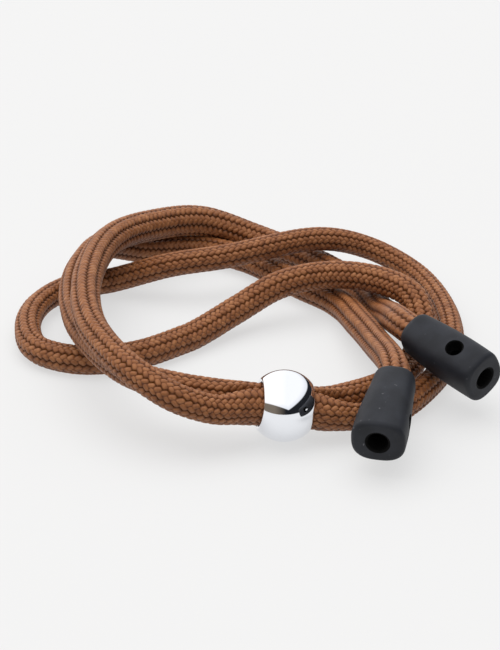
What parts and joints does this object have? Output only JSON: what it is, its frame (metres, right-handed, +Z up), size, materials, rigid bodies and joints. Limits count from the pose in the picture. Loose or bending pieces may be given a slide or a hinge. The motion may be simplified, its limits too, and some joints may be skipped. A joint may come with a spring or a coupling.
{
  "type": "eyewear retainer cord",
  "caption": "Braided cord folded double through a chrome ball slider, with a tapered rubber sleeve on each end for the tips of a pair of glasses.",
  "frame": {"origin": "middle of the bounding box of the whole object, on the surface that it lies on", "axes": "+Z up off the table, +X to the right and +Y away, seen from the side where the slider and the mouths of the sleeves are"},
  "size_m": [0.0865, 0.0906, 0.0161],
  "materials": {
    "braid": "matte woven yarn",
    "filler": "loose undyed yarn",
    "chrome": "polished",
    "rubber": "matte moulded"
  },
  "bodies": {
    "cord": {"cord_cover_front_end": "braid", "cord_cover_front_tail": "braid", "cord_cover_lower_top_arc": "braid", "cord_cover_lower_left_arc": "braid", "cord_cover_rear_grip": "braid", "cord_cover_inner_right_arc": "braid", "cord_cover_middle_run": "braid", "cord_cover_left_loop": "braid", "cord_cover_rear_run": "braid", "cord_cover_outer_right_arc": "braid", "cord_cover_front_corner": "braid", "cord_cover_front_grip": "braid", "cord_cover_upper_left_arc": "braid", "cord_cover_upper_top_arc": "braid", "cord_cover_right_tail": "braid", "cord_cover_right_end": "braid", "cord_core_front_end": "filler", "cord_core_front_tail": "filler", "cord_core_lower_top_arc": "filler", "cord_core_lower_left_arc": "filler", "cord_core_rear_grip": "filler", "cord_core_inner_right_arc": "filler", "cord_core_middle_run": "filler", "cord_core_left_loop": "filler", "cord_core_rear_run": "filler", "cord_core_outer_right_arc": "filler", "cord_core_front_corner": "filler", "cord_core_front_grip": "filler", "cord_core_upper_left_arc": "filler", "cord_core_upper_top_arc": "filler", "cord_core_right_tail": "filler", "cord_core_right_end": "filler", "sleeve_front": "rubber", "sleeve_right": "rubber"},
    "slider": {"slider_bead": "chrome"}
  },
  "joints": [
    {"name": "slider_slide", "type": "slide", "parent": "cord", "child": "slider", "axis": [0.9781, 0.1375, -0.1564], "range_m": [-0.0065, 0.0015]}
  ]
}
